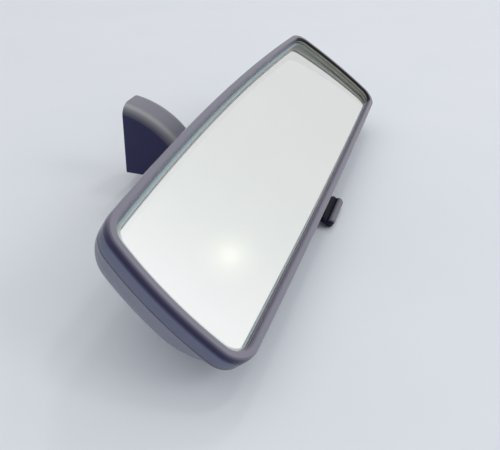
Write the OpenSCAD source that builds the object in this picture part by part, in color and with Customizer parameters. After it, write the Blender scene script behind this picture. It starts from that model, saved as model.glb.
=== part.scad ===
// Interior rearview mirror with a wedge glass, a dip lever and a fin-shaped stem.
// The pieces are drawn upright, with the glass in the XZ plane and facing -Y, and are then laid
// back on a bench with the foot face centred on the origin.

/* [Glass] */
// Width of the visible glass at mid height
view_w = 226.2; // [190:0.1:250]
// Visible glass above the centre line
view_top = 34.3; // [32:0.1:40]
// Visible glass below the centre line
view_bottom = 29.7; // [28:0.1:36]
// Lean of the short sides, which part towards the bottom
side_lean = 6.9; // [3:0.1:10]
// Radius of the arched upper edge
top_r = 1350; // [800:10:3000]
// Radius of the lower edge
bottom_r = 6800; // [2000:100:9000]
// Radius of the bowed short sides
side_r = 160; // [120:1:400]
// Radius of the upper corners of the view
corner_top_r = 8; // [7:0.1:12]
// Radius of the lower corners of the view
corner_bottom_r = 7; // [7:0.1:12]
// Glass thickness at its upper edge
glass_top_t = 5.9; // [4.5:0.1:7]
// Glass thickness at its lower edge
glass_bottom_t = 2.2; // [1.8:0.1:3.5]
// Width of glass hidden under the bezel lip
glass_lap = 1.2; // [0.8:0.1:1.4]
// Width of the ground edge that shows inside the bezel
arris_w = 1.5; // [0.8:0.1:2.2]
// Depth of the ground edge
arris_d = 0.5; // [0.3:0.1:0.8]
// Thickness of the adhesive bed behind the glass
bond_t = 0.8; // [0.5:0.1:1.5]
// Thickness of the backing plate
plate_t = 2; // [1.5:0.1:3]

/* [Case] */
// Width of the bezel from the lip edge to its outer face
bead_w = 4; // [3.8:0.1:6]
// Height of the bead's crest in front of the lip edge
bead_h = 2.4; // [2:0.1:3]
// Thickness of the lip over the glass
lip_t = 0.7; // [0.5:0.1:1.2]
// Depth of the parting line behind the lip edge
part_y = 7.2; // [5:0.1:7.4]
// Width of the parting line
part_gap = 0.3; // [0.2:0.05:0.6]
// Depth where the case wall stops being straight
straight_l = 10; // [9:0.1:11]
// Radius between the case wall and its back
round_r = 12.5; // [11:0.1:13.5]
// Depth of the case at the middle of its back
case_depth = 25; // [23:0.1:28]
// Rise of the lower wall from the straight stretch to the back
bottom_rise = 9; // [2:0.5:10]
// Growth of the upper corner radii from the parting line to the back
upper_growth = 6; // [4:0.5:12]
// Growth of the lower corner radii from the parting line to the back
lower_growth = 18; // [8:0.5:20]
// Draft of the short sides from the parting line to the back
end_draft = 0.7; // [0:0.1:1.5]
// Wall of the case
case_t = 2.2; // [1.8:0.1:2.6]
// Wall of the bezel skirt
skirt_t = 1.4; // [1.2:0.1:1.6]
// Radius of the ball opening in the back
opening_r = 18.5; // [17.5:0.1:20]

/* [Ball joint] */
// Radius of the ball
ball_r = 7; // [6:0.1:8]
// Thickness of the liner shell
liner_t = 1.1; // [0.8:0.1:1.5]
// Thickness of the pressure ring
ring_t = 1.1; // [0.8:0.1:1.5]
// Wall of the socket bowl and cap
bowl_t = 2; // [1.6:0.1:2.6]
// Height of the ball centre above the glass centre line
ball_z = 0; // [-3:0.1:3]
// Radius of the ball stud's neck
neck_r = 4; // [3:0.1:4.2]
// Half angle of the socket mouth
mouth_a = 58; // [54:1:64]
// Radius of the socket screws
socket_screw_r = 1.25; // [1:0.05:1.4]

/* [Toggle and lever] */
// Height of the tilt pivot above the glass centre line
pivot_z = 22.5; // [20:0.1:25]
// Radius of the tilt pivot pin
pivot_r = 1.5; // [1.2:0.1:2]
// Radius of the lever pin
lever_pin_r = 1; // [0.8:0.05:1.2]
// Radius of the lever hub
hub_r = 2.2; // [2:0.1:2.6]
// Crank radius between the lever pin and the crank pin
crank_r = 5; // [4.7:0.1:5.6]
// Throw of the lever
lever_throw = 36; // [30:1:40]
// Width of the finger tab
tab_w = 22.5; // [18:0.5:32]
// Reach of the finger tab below the lever pin
tab_l = 18; // [17:0.1:22]
// Thickness of the finger tab
tab_t = 3.2; // [2.4:0.1:4]
// Forward lean of the finger tab as photographed
tab_lean = 8; // [0:0.5:10]

/* [Stem] */
// Rake of the windscreen from the horizontal
screen_rake = 31.3; // [27:0.1:36]
// Distance from the ball centre to the foot face
stem_reach = 71.6; // [67:0.1:78]
// Offset of the foot along the windscreen
foot_offset = -3.2; // [-4:0.1:-1]
// Length of the foot along the windscreen
foot_l = 41.4; // [38:0.1:46]
// Width of the fin
fin_w = 18.5; // [17.6:0.1:24]
// Radius of the fin's curved back
rear_r = 44.5; // [40:0.1:60]
// Radius of the boss at the fin's tip
tip_r = 6; // [5.8:0.1:7]
// Distance from the ball centre to the centre of the tip boss
neck_l = 37.8; // [35:0.1:40]
// Lean of the neck from the foot's normal
neck_lean = 10.8; // [8:0.1:14]
// Radius along the fin's rear edges
edge_r = 5; // [3:0.1:5.4]
// Wall of the fin
fin_t = 2.2; // [1.8:0.1:2.6]
// Depth of the hollow that takes the arm core
core_l = 27; // [24:0.1:28]

/* [Foot slot] */
// Width of the slot mouth
slot_mouth = 8.4; // [7:0.1:9]
// Width of the slot floor
slot_floor = 10.8; // [10:0.1:11.2]
// Depth of the slot
slot_d = 5.2; // [4.8:0.1:6]
// Length of the slot from the open end
slot_l = 17; // [14:0.1:18]
// Thickness of the leaf spring
spring_t = 0.5; // [0.3:0.05:0.6]

/* [Pose] */
// Angle between the glass and the bench
glass_slope = 36.2; // [30:0.1:42]

/* [Hidden] */

fit = 0.1;
slip = 0.15;
cut = 0.5;
$fn = 48;

// Segments along the half upper edge, a corner, a short side and the half lower edge
EDGE_SEGS = 6;
CORNER_SEGS = 7;
SIDE_SEGS = 4;

// Outline of the view as tangent arcs, worked out for the right half
function unit(a) = [cos(a), sin(a)];
function heading(v) = atan2(v.y, v.x);
function meet(c1, r1, c2, r2, side) =
  let (d = c2 - c1, l = norm(d), a = (r1 * r1 - r2 * r2 + l * l) / (2 * l))
  c1 + (a * d + side * sqrt(r1 * r1 - a * a) * [-d.y, d.x]) / l;
top_c = [0, view_top - top_r];
bottom_c = [0, bottom_r - view_bottom];
function arcs(k) =
  let (
    rt = corner_top_r + upper_growth * k,
    rb = corner_bottom_r + lower_growth * k,
    side_c = [view_w / 2 - end_draft * k, 0] - side_r * unit(side_lean),
    upper_c = meet(top_c, top_r - rt, side_c, side_r - rt, -1),
    lower_c = meet(bottom_c, bottom_r - rb, side_c, side_r - rb, 1)
  )
  [
    [top_c, top_r, 90, heading(upper_c - top_c), EDGE_SEGS],
    [upper_c, rt, heading(upper_c - top_c), heading(upper_c - side_c), CORNER_SEGS],
    [side_c, side_r, heading(upper_c - side_c), heading(lower_c - side_c), SIDE_SEGS],
    [lower_c, rb, heading(lower_c - side_c), heading(lower_c - bottom_c), CORNER_SEGS],
    [bottom_c, bottom_r, heading(lower_c - bottom_c), -90, EDGE_SEGS]
  ];
function half_outline(off, k) = [
  for (arc = arcs(k))
    for (i = [0 : arc[4] - 1])
      arc[0] + (arc[1] + off) * unit(arc[2] + (arc[3] - arc[2]) * i / arc[4])
];
function outline(off, k) =
  let (right = half_outline(off, k), low = [[0, -view_bottom - off]], n = len(right))
  concat(right, low, [for (i = [n - 1 : -1 : 1]) [-right[i].x, right[i].y]]);

// Stack of glass, pad and plate behind the lip, and the planes that carry it
glass_h = view_top + view_bottom + 2 * glass_lap;
wedge = (glass_top_t - glass_bottom_t) / glass_h;
glass_back = lip_t + glass_bottom_t + (view_bottom + glass_lap) * wedge;
function plate_back(z) = glass_back + bond_t + plate_t + z * wedge;

// A ring of points at depth y. lean tips its plane with the wedge, k is the share of corner growth,
// and shrink draws the ring to the middle
function ring(off, y, lean = 0, k = 0, rise = 0, shrink = 1) = [
  for (p = outline(off, k))
    let (z = view_top - (view_top - p.y) * (1 - rise / (view_top + view_bottom)))
    [p.x * shrink, y + z * lean, mid_z + (z - mid_z) * shrink]
];

// Case wall: straight, then round to the back, then a shallow dome
case_off = bead_w - 0.1;
mid_z = (view_top - view_bottom) / 2;
ROUND_END = 75;
function wall_y(t, a) = straight_l + (round_r - t) * sin(a);
function wall_off(t, a) = case_off - t - (round_r - t) * (1 - cos(a));
function rise_at(y) = bottom_rise * max(0, y - straight_l) / (case_depth - straight_l);
function growth_at(a) = 0.4 + 0.6 * a / ROUND_END;
function wall_ring(t, a) =
  ring(wall_off(t, a), wall_y(t, a), k = growth_at(a), rise = rise_at(wall_y(t, a)));
function dome_ring(t, s) =
  let (y = wall_y(t, ROUND_END), top = case_depth - t)
  ring(wall_off(t, ROUND_END), y + (top - y) * (1 - s * s), k = 1, rise = rise_at(y), shrink = s);

// Ball joint, as shells round one centre
liner_r = ball_r + fit + liner_t;
ring_r = liner_r + fit + ring_t;
bowl_in = ring_r + fit;
bowl_r = bowl_in + bowl_t;
bowl_gap = 2.5;
ball_y = plate_back(ball_z) + bowl_gap + bowl_r;
ear_x = bowl_r + socket_screw_r + 1;
ear_r = socket_screw_r + 1.6;
ear_t = 2.4;

// Tilt pivot and dip lever
barrel_r = pivot_r + 1.7;
pivot_y = plate_back(pivot_z) + barrel_r + 1.2;
barrel_w = 24;
lug_t = 3.2;
lever_z = hub_r + 1 - view_bottom;
lever_y = plate_back(lever_z) + hub_r + 2.8;
crank_pin_r = 1.2;
crank_z = lever_z + crank_r * cos(lever_throw / 2);
crank_y = lever_y + crank_r * sin(lever_throw / 2);
crank_web = 3.4;
cheek_t = 2.6;
cheek_r = 2;
hub_w = 12.4;

// Stem: foot centre, neck direction and fin profile in the plane of the foot's length and normal
foot_y = ball_y + stem_reach * sin(screen_rake) + foot_offset * cos(screen_rake);
foot_z = ball_z + stem_reach * cos(screen_rake) - foot_offset * sin(screen_rake);
ball_f = [-foot_offset, -stem_reach];
neck_dir = [sin(neck_lean), cos(neck_lean)];
tip_c = ball_f + neck_l * neck_dir;
rear_c = meet(tip_c, rear_r - tip_r, [-foot_l / 2, 0], rear_r, -1);
rear_a = heading(tip_c - rear_c) + 360;
foot_end = [foot_l / 2, 0];
front_a = heading(foot_end - tip_c) - acos(tip_r / norm(foot_end - tip_c)) + 360;
front_share = 0.35;
over = 4;
function edge_share(a) = a < 270 ? 1 : 1 - (1 - front_share) * (a - 270) / (front_a - 270);
function fin_profile(inset, even = false) =
  let (
    share = even ? 1 : front_share,
    front = unit(front_a),
    up = [-front.y, front.x],
    back_r = rear_r - inset,
    back_a = 180 - asin((over - rear_c.y) / back_r)
  )
  concat(
    [for (i = [0 : 11]) let (a = back_a + (rear_a - back_a) * i / 12) rear_c + back_r * unit(a)],
    [for (i = [0 : 8])
      let (a = rear_a + (front_a - rear_a) * i / 8)
      tip_c + (tip_r - inset * (even ? 1 : edge_share(a))) * unit(a)],
    [foot_end - inset * share * front + up * over / up.y]
  );

// Places: the bench frame, the foot frame and the socket frame
module on_bench() {
  rotate([glass_slope - 90, 0, 0]) translate([0, -foot_y, -foot_z]) children();
}
module at_foot() {
  translate([0, foot_y, foot_z]) rotate([-screen_rake, 0, 0]) children();
}
module at_socket() {
  translate([0, ball_y, ball_z]) rotate([-screen_rake - neck_lean, 0, 0]) children();
}
module along_x(y, z) {
  translate([0, y, z]) rotate([0, 90, 0]) children();
}

// A closed body through a row of rings, and a ring-shaped body through a loop of rings
function band(n, a, b) = [
  for (i = [0 : n - 1])
    let (j = (i + 1) % n)
    each [[a * n + i, b * n + i, b * n + j], [a * n + i, b * n + j, a * n + j]]
];
module loft(rings) {
  n = len(rings[0]);
  k = len(rings);
  polyhedron(
    [for (r = rings) each r],
    concat(
      [[for (i = [0 : n - 1]) i]],
      [for (a = [0 : k - 2]) each band(n, a, a + 1)],
      [[for (i = [n - 1 : -1 : 0]) (k - 1) * n + i]]
    )
  );
}
module loop_loft(rings) {
  n = len(rings[0]);
  k = len(rings);
  polyhedron([for (r = rings) each r], [for (a = [0 : k - 1]) each band(n, a, (a + 1) % k)]);
}

// A spherical shell between two radii and two angles from the socket axis
module shell_zone(r_in, r_out, a_from, a_to) {
  rotate_extrude() intersection() {
    difference() {
      circle(r_out);
      circle(r_in);
    }
    polygon(concat([[0, 0]], [for (i = [0 : 6])
      let (a = a_from + (a_to - a_from) * i / 6)
      1.6 * r_out * [sin(a), cos(a)]]));
  }
}

// Pan-head screw along -Z with its seat at the origin
module screw(r, l, head_r, head_t) {
  difference() {
    union() {
      cylinder(r = head_r, h = head_t);
      translate([0, 0, -l]) cylinder(r = r, h = l + cut);
    }
    for (a = [0, 90])
      rotate(a) translate([-head_r * 0.6, -head_r * 0.12, head_t / 2])
        cube([head_r * 1.2, head_r * 0.24, head_t]);
  }
}

// Stem
stem_screw_r = 1.4;
stem_screw_head_r = 2.6;
stem_screw_n = [-10, -17];
function front_v(n) = tip_c.x + (tip_r - (n - tip_c.y) * sin(front_a)) / cos(front_a);
shank_r = 2.2;
shank_grip = 6;
neck_gap = 1.2;
neck_top = (stem_reach - core_l) / cos(neck_lean);
stem_screw_l = 8;

module fin_body() {
  STEPS = [0, 22.5, 45, 67.5, 90];
  half = [for (t = STEPS) [fin_w / 2 - edge_r * (1 - cos(t)), edge_r * (1 - sin(t))]];
  sides = concat(
    [for (s = half) [-s[0], s[1]]],
    [for (i = [len(half) - 1 : -1 : 0]) half[i]]
  );
  loft([for (s = sides) [for (p = fin_profile(s[1])) [s[0], p.x, p.y]]]);
}
module fin_core(inset, w, depth) {
  intersection() {
    rotate([90, 0, 90]) linear_extrude(w, center = true) polygon(fin_profile(inset, true));
    translate([-fin_w, -foot_l, -depth]) cube([2 * fin_w, 2 * foot_l, depth + over]);
  }
}
module foot_slot(spare) {
  translate([0, foot_l / 2 - slot_l, 0]) rotate([-90, 0, 0]) linear_extrude(slot_l + over)
    polygon([
      [-slot_mouth / 2 - spare, -over], [slot_mouth / 2 + spare, -over],
      [slot_mouth / 2 + spare, 0], [slot_floor / 2 + spare, slot_d + spare],
      [-slot_floor / 2 - spare, slot_d + spare], [-slot_mouth / 2 - spare, 0]
    ]);
}
module on_neck() {
  translate([0, ball_f.x, ball_f.y]) rotate([-neck_lean, 0, 0]) children();
}
module at_stem_screws() {
  for (n = stem_screw_n)
    translate([0, front_v(n) - stem_screw_head_r * 0.4 - 0.8, n]) rotate([-90, 0, 0]) children();
}
module stem_shell() {
  color("#55545c") at_foot() difference() {
    fin_body();
    translate([-fin_w, -foot_l, 0]) cube([2 * fin_w, 2 * foot_l, 2 * over]);
    fin_core(fin_t, fin_w - 2 * fin_t, core_l);
    intersection() {
      foot_slot(fit);
      translate([-fin_w, 0, -2 * slot_d]) cube([2 * fin_w, foot_l, 2 * slot_d + over]);
    }
    on_neck() cylinder(r = neck_r + fit, h = neck_top + neck_r / 4);
    at_stem_screws() {
      cylinder(r = stem_screw_head_r + slip, h = 4 * fin_t);
      translate([0, 0, -stem_screw_l]) cylinder(r = stem_screw_r + slip, h = 2 * stem_screw_l);
    }
  }
}
module arm_core() {
  color("#9a9a9c") at_foot() difference() {
    fin_core(fin_t + fit, fin_w - 2 * fin_t - 2 * fit, core_l - fit);
    translate([-fin_w, -foot_l, 0]) cube([2 * fin_w, 2 * foot_l, 2 * over]);
    foot_slot(0);
    translate([-spring_w / 2 - fit, spring_from - spring_gap, -slot_d - spring_pocket])
      cube([spring_w + 2 * fit, spring_l + 2 * spring_gap, spring_pocket + cut]);
    on_neck() cylinder(r = shank_r + fit / 2, h = neck_top + shank_grip + fit);
    at_stem_screws() translate([0, 0, -stem_screw_l - 1])
      cylinder(r = stem_screw_r + fit / 2, h = 2 * stem_screw_l);
  }
}
module ball_stud() {
  color("#8d8f92") at_foot() on_neck() {
    sphere(ball_r, $fn = 64);
    cylinder(r = neck_r, h = neck_top - neck_gap);
    cylinder(r = shank_r, h = neck_top + shank_grip);
  }
}
spring_w = 6;
spring_pocket = 1.2;
spring_r = 20;
spring_gap = 0.6;
pocket_wall = 1;
spring_from = foot_l / 2 - slot_l + pocket_wall + spring_gap;
spring_l = front_v(-slot_d - spring_pocket) - fin_t - 2 * pocket_wall - spring_gap - spring_from;
module foot_spring() {
  drop = sqrt(spring_r * spring_r - spring_l * spring_l / 4);
  color("#b4b6ba") at_foot()
    translate([0, spring_from + spring_l / 2, -slot_d - spring_pocket - drop])
    rotate([90, 0, 90]) linear_extrude(spring_w, center = true) intersection() {
      difference() {
        circle(spring_r + spring_t, $fn = 96);
        circle(spring_r, $fn = 96);
      }
      translate([-spring_l / 2, drop]) square([spring_l, spring_r]);
    }
}
module stem_screws() {
  color("#3c3c40") at_foot() at_stem_screws() screw(stem_screw_r, stem_screw_l, stem_screw_head_r, 1.6);
}

// Ball joint
module ball_liner() {
  color("#e4e0d4") at_socket() shell_zone(ball_r + fit, liner_r, mouth_a, 150);
}
module pressure_ring() {
  color("#3a3a3e") at_socket() shell_zone(liner_r + fit, ring_r, mouth_a, 135);
}

// Toggle bracket with the socket bowl, the barrel on the tilt pivot and the fork on the crank pin
bracket_w = 16;
ear_seat = 0.1;
module socket_ears(from, h) {
  for (s = [-1, 1])
    translate([s * ear_x, 0, from]) cylinder(r = ear_r, h = h);
  translate([-ear_x, -ear_r, from]) cube([2 * ear_x, 2 * ear_r, h]);
}
module at_socket_screws() {
  for (s = [-1, 1]) translate([s * ear_x, 0, ear_seat + ear_t]) children();
}
module bracket_arm(points, w) {
  rotate([90, 0, 90]) linear_extrude(w, center = true) polygon(points);
}
module toggle_bracket() {
  arm_t = 2.6;
  arm_y = ball_y - bowl_r - 0.3;
  color("#2f2f33") difference() {
    union() {
      at_socket() {
        intersection() {
          sphere(bowl_r, $fn = 64);
          translate([-2 * bowl_r, -2 * bowl_r, -2 * bowl_r]) cube([4 * bowl_r, 4 * bowl_r, 2 * bowl_r]);
        }
        socket_ears(-ear_t, ear_t);
      }
      bracket_arm([
        [arm_y, ball_z - 3], [arm_y + arm_t + 2, ball_z - 3], [arm_y + arm_t, ball_z + 3],
        [arm_y + arm_t, pivot_z - 8], [pivot_y + arm_t / 2, pivot_z], [pivot_y - barrel_r, pivot_z],
        [arm_y, pivot_z - 8]
      ], bracket_w);
      bracket_arm([
        [arm_y, ball_z], [arm_y + arm_t + 3, ball_z - 3], [crank_y + cheek_r, crank_z + 8],
        [crank_y + cheek_r, crank_z], [crank_y - cheek_r, crank_z], [crank_y - cheek_r, crank_z + 8]
      ], bracket_w - 4);
      along_x(pivot_y, pivot_z) cylinder(r = barrel_r, h = barrel_w, center = true);
      along_x(crank_y, crank_z) cylinder(r = cheek_r, h = bracket_w - 4, center = true);
    }
    at_socket() sphere(bowl_in, $fn = 64);
    at_socket() cylinder(r = bowl_in + cut, h = 2 * bowl_r);
    at_socket() at_socket_screws() socket_hole(fit / 2);
    along_x(pivot_y, pivot_z) cylinder(r = pivot_r + fit / 2, h = 2 * barrel_w, center = true);
    fork_cut();
  }
}
module fork_cut() {
  gap = crank_web + 2 * 0.4;
  translate([-gap / 2, crank_y - 6, crank_z - 2 * cheek_r]) cube([gap, 12, 2 * cheek_r + hub_r + 2]);
  for (s = [-0.4, 0, 0.4])
    along_x(crank_y, crank_z + s) cylinder(r = crank_pin_r + fit, h = 2 * bracket_w, center = true);
}
socket_screw_l = 6;
socket_head_t = 1.5;
module socket_hole(spare) {
  translate([0, 0, -2 * socket_screw_l])
    cylinder(r = socket_screw_r + spare, h = 2 * socket_screw_l + socket_head_t);
}
module socket_cap() {
  color("#3a3a40") at_socket() difference() {
    union() {
      intersection() {
        sphere(bowl_r, $fn = 64);
        translate([-2 * bowl_r, -2 * bowl_r, ear_seat]) cube([4 * bowl_r, 4 * bowl_r, 2 * bowl_r]);
      }
      socket_ears(ear_seat, ear_t);
    }
    sphere(bowl_in, $fn = 64);
    cylinder(r1 = 0, r2 = 2 * bowl_r * tan(mouth_a), h = 2 * bowl_r, $fn = 64);
    at_socket_screws() socket_hole(slip);
  }
}
module socket_screws() {
  color("#8a8c90") at_socket() at_socket_screws()
    screw(socket_screw_r, socket_screw_l, ear_r - 0.4, socket_head_t);
}

// Bezel, case and glass
crest_in = bead_w * 0.45;
crest_out = bead_w * 0.7;
shoulder_h = bead_h + 1.2;
module front_bezel() {
  inner = bead_w - skirt_t;
  foot = bead_w * 0.1;
  profile = concat(
    [[0, 0], [foot, -0.1]],
    [for (a = [15 : 15 : 90]) [foot + (crest_in - foot) * (1 - cos(a)), -bead_h * sin(a)]],
    [for (a = [0 : 15 : 90]) [crest_out + (bead_w - crest_out) * sin(a), -bead_h + shoulder_h * (1 - cos(a))]],
    [[case_off, part_y], [inner, part_y], [inner, lip_t + 0.6], [glass_lap + slip, lip_t], [0, lip_t]]
  );
  color("#5a5860") loop_loft([for (p = profile) ring(p.x, p.y)]);
}
spigot_out = bead_w - skirt_t - slip;
spigot_in = glass_lap + slip;
spigot_y = lip_t + 1.2;
ledge_t = 1.6;
module rear_housing() {
  case_y = part_y + part_gap;
  inner = [
    dome_ring(case_t, 0.3), dome_ring(case_t, 0.6), dome_ring(case_t, 0.84),
    wall_ring(case_t, ROUND_END), wall_ring(case_t, 52), wall_ring(case_t, 32)
  ];
  rim = [
    ring(0, plate_back(0) + slip + ledge_t, lean = wedge), ring(0, plate_back(0) + slip, lean = wedge),
    ring(spigot_in, plate_back(0) + slip, lean = wedge), ring(spigot_in, spigot_y),
    ring(spigot_out, spigot_y), ring(spigot_out, case_y), ring(case_off, case_y)
  ];
  outer = [
    for (a = [0 : 15 : ROUND_END]) wall_ring(0, a),
    dome_ring(0, 0.9), dome_ring(0, 0.76), dome_ring(0, 0.6), dome_ring(0, 0.42), dome_ring(0, 0.2)
  ];
  color("#59585f") difference() {
    union() {
      loft(concat(inner, rim, outer));
      at_plate_screws() screw_boss();
    }
    translate([0, 0, ball_z]) rotate([-90, 0, 0]) cylinder(r = opening_r, h = 2 * case_depth, $fn = 64);
    lever_slot();
    at_plate_screws() translate([0, 0, -1]) cylinder(r = plate_screw_r + fit / 2, h = plate_screw_l + 2);
  }
}
slot_half = hub_w / 2 + 0.8;
slot_top = lever_z + hub_r;
module lever_slot() {
  y_from = part_y + part_gap + 0.3;
  y_to = lever_y + (bead_w + hub_r + 6) * tan(lever_throw - tab_lean) + tab_t;
  room = hub_w / 2 + lug_t + 2 * slip;
  room_z = lever_z - hub_r - 4 * slip;
  translate([-slot_half, y_from, slot_top - 6 * hub_r]) cube([2 * slot_half, y_to - y_from, 6 * hub_r]);
  translate([-room, y_from, room_z]) cube([2 * room, lever_y + hub_r + 4 * slip - y_from, slot_top - room_z]);
}
module prism_glass() {
  color("#e6ebe8") loft([
    ring(-arris_w, lip_t), ring(glass_lap, lip_t + arris_d),
    ring(glass_lap, glass_back, lean = wedge)
  ]);
}
bond_inset = 3;
module glass_bond() {
  color("#3a3b40") loft([
    ring(-bond_inset, glass_back, lean = wedge), ring(-bond_inset, glass_back + bond_t, lean = wedge)
  ]);
}
plate_screw_r = 1.3;
plate_screw_l = 7;
plate_screw_x = 72;
boss_r = 3.4;
module at_plate_screws() {
  for (s = [-1, 1])
    translate([s * plate_screw_x, plate_back(boss_r) + slip, 0]) rotate([-90, 0, 0]) children();
}
module screw_boss() {
  cylinder(r = boss_r, h = case_depth - case_t - plate_back(boss_r) - 0.4);
}
module backing_plate() {
  plate_off = glass_lap - slip;
  color("#232327") difference() {
    union() {
      loft([
        ring(plate_off, glass_back + bond_t, lean = wedge),
        ring(plate_off, glass_back + bond_t + plate_t, lean = wedge)
      ]);
      for (s = [-1, 1]) {
        lug(s * (barrel_w / 2 + slip + lug_t / 2), pivot_y, pivot_z, barrel_r);
        lug(s * (hub_w / 2 + slip + lug_t / 2), lever_y, lever_z, hub_r);
      }
    }
    along_x(pivot_y, pivot_z) cylinder(r = pivot_r + fit / 2, h = 2 * barrel_w, center = true);
    along_x(lever_y, lever_z) cylinder(r = lever_pin_r + fit / 2, h = 4 * hub_w, center = true);
    at_plate_screws() {
      translate([0, 0, -plate_screw_l]) cylinder(r = plate_screw_r + slip, h = 2 * plate_screw_l);
      translate([0, 0, -10 - plate_t * 0.35]) cylinder(r = plate_head_r + slip, h = 10);
    }
  }
}
plate_head_r = 2.6;
module lug(x, y, z, r) {
  back = plate_back(z) - plate_t / 2;
  translate([x, 0, 0]) {
    along_x(y, z) cylinder(r = r, h = lug_t, center = true);
    translate([-lug_t / 2, back, z - r]) cube([lug_t, y - back, 2 * r]);
  }
}
module plate_screws() {
  color("#77797d") at_plate_screws() mirror([0, 0, 1]) translate([0, 0, plate_t * 0.35])
    screw(plate_screw_r, plate_screw_l, plate_head_r, plate_t * 0.6);
}
pivot_pin_l = barrel_w + 2 * (slip + lug_t) + 4;
module pivot_pin() {
  color("#b9bbbf") along_x(pivot_y, pivot_z) difference() {
    cylinder(r = pivot_r, h = pivot_pin_l, center = true);
    at_pin_rings() difference() {
      cylinder(r = pivot_r + 1, h = pin_ring_t + 0.1, center = true);
      cylinder(r = pivot_r - 0.3, h = pin_ring_t + 1, center = true);
    }
  }
}
pin_ring_t = 0.6;
module at_pin_rings() {
  for (s = [-1, 1])
    translate([0, 0, s * (barrel_w / 2 + slip + lug_t + 0.1 + pin_ring_t / 2)]) children();
}
module pin_rings() {
  color("#6e7074") along_x(pivot_y, pivot_z) at_pin_rings() difference() {
    cylinder(r = pivot_r + 1.1, h = pin_ring_t, center = true);
    cylinder(r = pivot_r - 0.25, h = 2, center = true);
    translate([-2 * pivot_r, -0.7, -1]) cube([2 * pivot_r, 1.4, 2]);
  }
}
module lever_pin() {
  color("#b9bbbf") along_x(lever_y, lever_z)
    cylinder(r = lever_pin_r, h = hub_w + 2 * (slip + lug_t) + 1, center = true);
}

// Dip lever: hub on the lever pin, crank into the fork, and a finger tab with a rolled lip
tab_corner = 3;
lip_short = 2.5;
module dip_lever() {
  crank_a = lever_throw / 2;
  tab_top = view_bottom + bead_w + lever_z + 3.6;
  lip_r = tab_t / 2 + 0.4;
  color("#2b2b30") translate([0, lever_y, lever_z]) difference() {
    union() {
      rotate([0, 90, 0]) cylinder(r = hub_r, h = hub_w, center = true);
      rotate([-crank_a, 0, 0]) {
        translate([-crank_web / 2, -hub_r * 0.7, 0]) cube([crank_web, hub_r * 1.4, crank_r]);
        translate([0, 0, crank_r]) rotate([0, 90, 0])
          cylinder(r = crank_pin_r, h = crank_web + 2 * 0.4 + 2 * cheek_t, center = true);
      }
      rotate([-tab_lean, 0, 0]) {
        translate([-hub_w / 2, -tab_t / 2, -tab_top - 1]) cube([hub_w, tab_t, tab_top + 1]);
        hull() for (s = [-1, 1]) {
          translate([s * (tab_w / 2 - tab_corner), 0, -tab_top - tab_corner]) rotate([90, 0, 0])
            cylinder(r = tab_corner, h = tab_t, center = true, $fn = 32);
          translate([s * (tab_w / 2 - tab_corner), 0, -tab_l + tab_corner]) rotate([90, 0, 0])
            cylinder(r = tab_corner, h = tab_t, center = true, $fn = 32);
        }
        translate([0, -tab_t / 2 + 0.4, -tab_l + lip_r]) rotate([0, 90, 0])
          cylinder(r = lip_r, h = tab_w - 2 * lip_short, center = true);
      }
    }
    rotate([0, 90, 0]) cylinder(r = lever_pin_r + fit / 2, h = 2 * tab_w, center = true);
  }
}

on_bench() stem_shell();
on_bench() arm_core();
on_bench() ball_stud();
on_bench() foot_spring();
on_bench() stem_screws();
on_bench() ball_liner();
on_bench() pressure_ring();
on_bench() toggle_bracket();
on_bench() socket_cap();
on_bench() socket_screws();
on_bench() front_bezel();
on_bench() rear_housing();
on_bench() prism_glass();
on_bench() glass_bond();
on_bench() backing_plate();
on_bench() plate_screws();
on_bench() pivot_pin();
on_bench() pin_rings();
on_bench() lever_pin();
on_bench() dip_lever();
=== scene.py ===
import math
import bpy
import numpy as np
from mathutils import Matrix, Vector


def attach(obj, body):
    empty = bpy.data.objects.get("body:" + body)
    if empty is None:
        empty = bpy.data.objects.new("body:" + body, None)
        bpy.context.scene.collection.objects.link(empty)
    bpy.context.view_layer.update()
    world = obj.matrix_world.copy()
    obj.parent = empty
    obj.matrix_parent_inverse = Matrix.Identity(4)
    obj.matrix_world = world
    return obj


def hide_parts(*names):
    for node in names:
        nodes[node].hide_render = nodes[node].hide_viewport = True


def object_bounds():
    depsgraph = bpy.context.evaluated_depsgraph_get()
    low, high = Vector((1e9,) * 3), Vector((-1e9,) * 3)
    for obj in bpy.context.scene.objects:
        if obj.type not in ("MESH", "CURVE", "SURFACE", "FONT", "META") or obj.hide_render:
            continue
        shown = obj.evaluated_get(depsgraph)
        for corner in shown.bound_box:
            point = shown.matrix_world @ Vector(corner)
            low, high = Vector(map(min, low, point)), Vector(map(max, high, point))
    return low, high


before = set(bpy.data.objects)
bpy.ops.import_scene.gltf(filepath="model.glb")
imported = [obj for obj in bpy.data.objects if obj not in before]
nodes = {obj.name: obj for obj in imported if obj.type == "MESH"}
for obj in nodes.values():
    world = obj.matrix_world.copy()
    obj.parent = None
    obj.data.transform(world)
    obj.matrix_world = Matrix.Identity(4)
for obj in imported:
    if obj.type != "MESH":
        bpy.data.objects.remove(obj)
cad_box = [list(corner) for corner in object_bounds()]


# Arm core: the zinc casting inside the fin, with the dovetail slot that slides on the windscreen button.
# Left as cast, so it has a dull grain and greyer patches where it was rumbled in the barrel.
NOISE_LOW, NOISE_HIGH = 0.3, 0.7


def paint(name, colour, roughness, metallic=0.0):
    """A plain material, with its node tree and its shader for the detail that follows."""
    finish = bpy.data.materials.new(name)
    finish.use_nodes = True
    shader = finish.node_tree.nodes["Principled BSDF"]
    shader.inputs["Base Color"].default_value = (*colour, 1)
    shader.inputs["Roughness"].default_value = roughness
    shader.inputs["Metallic"].default_value = metallic
    return finish, finish.node_tree, shader


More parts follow.
